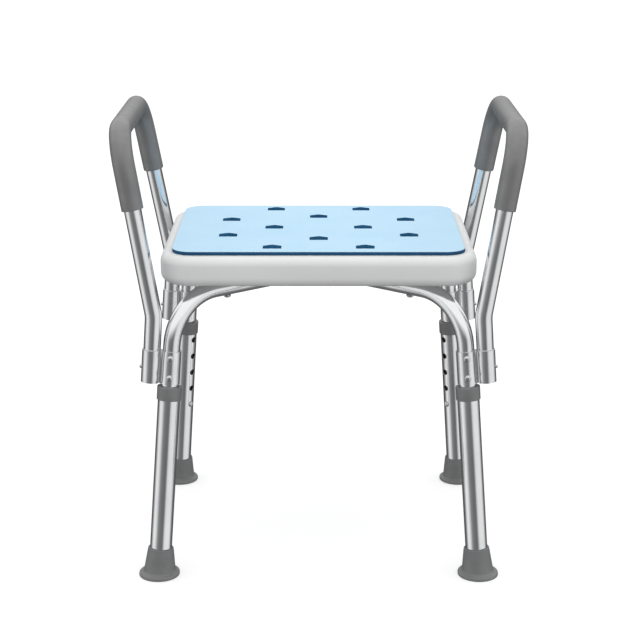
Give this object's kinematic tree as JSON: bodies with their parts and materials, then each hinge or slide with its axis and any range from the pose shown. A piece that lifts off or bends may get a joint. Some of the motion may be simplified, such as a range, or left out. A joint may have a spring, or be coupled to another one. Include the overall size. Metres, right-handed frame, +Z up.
{
  "type": "shower stool",
  "caption": "Height-adjustable shower stool: padded moulded seat with drain slots on bowed tubes, telescopic splayed legs with rubber feet, and lift-off side arms with foam grips.",
  "frame": {"origin": "on the floor, under the middle of the seat", "axes": "+Z up, the front of the stool faces -Y, +X towards the arm that is on the right when the stool is seen from the front"},
  "size_m": [0.5292, 0.395, 0.5912],
  "materials": {
    "shell": "blow-moulded white polyethylene, satin",
    "pad": "light blue closed-cell foam, matt, cut edges dark blue",
    "frame_aluminium": "polished and anodised tube",
    "leg_aluminium": "polished and anodised tube",
    "bracket_aluminium": "anodised extrusion, satin",
    "fastener_steel": "stainless",
    "spring_steel": "bright stainless spring steel",
    "grey_plastic": "moulded grey plastic, fine texture",
    "grey_rubber": "moulded grey rubber, matt",
    "grey_foam": "dark grey closed-cell foam, matt"
  },
  "bodies": {
    "seat_and_frame": {"seat_shell": "shell", "seat_pad": "pad", "front_frame_tube": "frame_aluminium", "rear_frame_tube": "frame_aluminium", "centre_bolt": "fastener_steel", "centre_nut": "fastener_steel", "seat_screw_front_left": "fastener_steel", "seat_screw_front_right": "fastener_steel", "seat_screw_rear_left": "fastener_steel", "seat_screw_rear_right": "fastener_steel", "twin_bracket_front_left": "bracket_aluminium", "twin_bracket_front_right": "bracket_aluminium", "twin_bracket_rear_left": "bracket_aluminium", "twin_bracket_rear_right": "bracket_aluminium", "bracket_rivet_front_left_lower": "fastener_steel", "bracket_rivet_front_left_upper": "fastener_steel", "bracket_rivet_front_right_lower": "fastener_steel", "bracket_rivet_front_right_upper": "fastener_steel", "bracket_rivet_rear_left_lower": "fastener_steel", "bracket_rivet_rear_left_upper": "fastener_steel", "bracket_rivet_rear_right_lower": "fastener_steel", "bracket_rivet_rear_right_upper": "fastener_steel", "leg_button_spring_front_left": "spring_steel", "leg_button_spring_front_right": "spring_steel", "leg_button_spring_rear_left": "spring_steel", "leg_button_spring_rear_right": "spring_steel"},
    "leg_front_left": {"leg_tube_front_left": "leg_aluminium", "leg_collar_front_left": "grey_plastic", "rubber_foot_front_left": "grey_rubber"},
    "leg_front_right": {"leg_tube_front_right": "leg_aluminium", "leg_collar_front_right": "grey_plastic", "rubber_foot_front_right": "grey_rubber"},
    "leg_rear_left": {"leg_tube_rear_left": "leg_aluminium", "leg_collar_rear_left": "grey_plastic", "rubber_foot_rear_left": "grey_rubber"},
    "leg_rear_right": {"leg_tube_rear_right": "leg_aluminium", "leg_collar_rear_right": "grey_plastic", "rubber_foot_rear_right": "grey_rubber"},
    "leg_button_front_left": {"leg_button_front_left": "spring_steel"},
    "leg_button_front_right": {"leg_button_front_right": "spring_steel"},
    "leg_button_rear_left": {"leg_button_rear_left": "spring_steel"},
    "leg_button_rear_right": {"leg_button_rear_right": "spring_steel"},
    "arm_left": {"arm_tube_left": "frame_aluminium", "arm_grip_left": "grey_foam", "arm_button_spring_front_left": "spring_steel", "arm_button_spring_rear_left": "spring_steel"},
    "arm_right": {"arm_tube_right": "frame_aluminium", "arm_grip_right": "grey_foam", "arm_button_spring_front_right": "spring_steel", "arm_button_spring_rear_right": "spring_steel"},
    "arm_button_front_left": {"arm_button_front_left": "spring_steel"},
    "arm_button_front_right": {"arm_button_front_right": "spring_steel"},
    "arm_button_rear_left": {"arm_button_rear_left": "spring_steel"},
    "arm_button_rear_right": {"arm_button_rear_right": "spring_steel"}
  },
  "joints": [
    {"name": "leg_height_front_left", "type": "slide", "parent": "seat_and_frame", "child": "leg_front_left", "axis": [-0.0701, -0.0731, -0.9949], "range_m": [0, 0.1016]},
    {"name": "leg_height_front_right", "type": "slide", "parent": "seat_and_frame", "child": "leg_front_right", "axis": [0.0701, -0.0731, -0.9949], "range_m": [0, 0.1016]},
    {"name": "leg_height_rear_left", "type": "slide", "parent": "seat_and_frame", "child": "leg_rear_left", "axis": [-0.0701, 0.0731, -0.9949], "range_m": [0, 0.1016]},
    {"name": "leg_height_rear_right", "type": "slide", "parent": "seat_and_frame", "child": "leg_rear_right", "axis": [0.0701, 0.0731, -0.9949], "range_m": [0, 0.1016]},
    {"name": "leg_button_press_front_left", "type": "slide", "parent": "seat_and_frame", "child": "leg_button_front_left", "axis": [-0.7692, -0.631, 0.1005], "range_m": [0, 0.005], "stiffness_N_per_m": 400, "springref_m": -0.004, "deforming": ["leg_button_front_left", "leg_button_spring_front_left"]},
    {"name": "leg_button_press_front_right", "type": "slide", "parent": "seat_and_frame", "child": "leg_button_front_right", "axis": [0.7692, -0.631, 0.1005], "range_m": [0, 0.005], "stiffness_N_per_m": 400, "springref_m": -0.004, "deforming": ["leg_button_front_right", "leg_button_spring_front_right"]},
    {"name": "leg_button_press_rear_left", "type": "slide", "parent": "seat_and_frame", "child": "leg_button_rear_left", "axis": [-0.7692, 0.631, 0.1005], "range_m": [0, 0.005], "stiffness_N_per_m": 400, "springref_m": -0.004, "deforming": ["leg_button_rear_left", "leg_button_spring_rear_left"]},
    {"name": "leg_button_press_rear_right", "type": "slide", "parent": "seat_and_frame", "child": "leg_button_rear_right", "axis": [0.7692, 0.631, 0.1005], "range_m": [0, 0.005], "stiffness_N_per_m": 400, "springref_m": -0.004, "deforming": ["leg_button_rear_right", "leg_button_spring_rear_right"]},
    {"name": "arm_lift_left", "type": "slide", "parent": "seat_and_frame", "child": "arm_left", "axis": [0.0703, 0, 0.9975], "range_m": [0, 0.06]},
    {"name": "arm_lift_right", "type": "slide", "parent": "seat_and_frame", "child": "arm_right", "axis": [-0.0703, 0, 0.9975], "range_m": [0, 0.06]},
    {"name": "arm_button_press_front_left", "type": "slide", "parent": "arm_left", "child": "arm_button_front_left", "axis": [0.9975, 0, -0.0703], "range_m": [0, 0.005], "stiffness_N_per_m": 400, "springref_m": -0.004, "deforming": ["arm_button_front_left", "arm_button_spring_front_left"]},
    {"name": "arm_button_press_front_right", "type": "slide", "parent": "arm_right", "child": "arm_button_front_right", "axis": [-0.9975, 0, -0.0703], "range_m": [0, 0.005], "stiffness_N_per_m": 400, "springref_m": -0.004, "deforming": ["arm_button_front_right", "arm_button_spring_front_right"]},
    {"name": "arm_button_press_rear_left", "type": "slide", "parent": "arm_left", "child": "arm_button_rear_left", "axis": [0.9975, 0, -0.0703], "range_m": [0, 0.005], "stiffness_N_per_m": 400, "springref_m": -0.004, "deforming": ["arm_button_rear_left", "arm_button_spring_rear_left"]},
    {"name": "arm_button_press_rear_right", "type": "slide", "parent": "arm_right", "child": "arm_button_rear_right", "axis": [-0.9975, 0, -0.0703], "range_m": [0, 0.005], "stiffness_N_per_m": 400, "springref_m": -0.004, "deforming": ["arm_button_rear_right", "arm_button_spring_rear_right"]}
  ]
}
